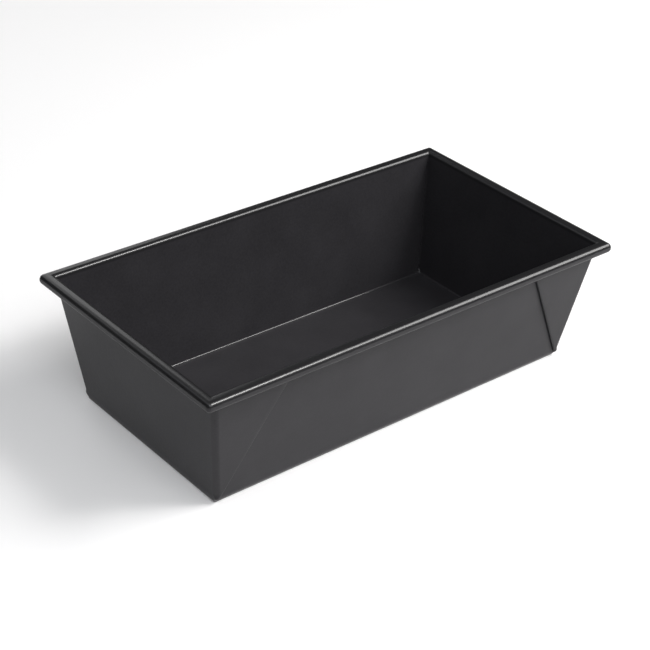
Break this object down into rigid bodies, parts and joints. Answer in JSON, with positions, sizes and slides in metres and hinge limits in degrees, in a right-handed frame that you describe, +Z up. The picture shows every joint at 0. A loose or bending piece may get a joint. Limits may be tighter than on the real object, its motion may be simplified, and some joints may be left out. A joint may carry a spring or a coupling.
{
  "type": "loaf pan",
  "caption": "Rectangular loaf pan folded from coated sheet steel, with sloping walls, flat folded corner gussets and a rim rolled over a wire.",
  "frame": {"origin": "centre of the pan's underside, on the surface that it stands on", "axes": "+X along the pan's length towards its right end, +Y across its width towards its back, +Z up out of the open top"},
  "size_m": [0.255, 0.14, 0.0695],
  "materials": {
    "coating": "satin",
    "wire": "satin"
  },
  "bodies": {
    "root": {"floor_panel": "coating", "front_wall": "coating", "back_wall": "coating", "left_end_wall": "coating", "right_end_wall": "coating", "front_left_corner_flap": "coating", "front_right_corner_flap": "coating", "back_left_corner_flap": "coating", "back_right_corner_flap": "coating", "front_rolled_rim": "coating", "back_rolled_rim": "coating", "left_rolled_rim": "coating", "right_rolled_rim": "coating", "rim_wire": "wire"}
  },
  "joints": []
}
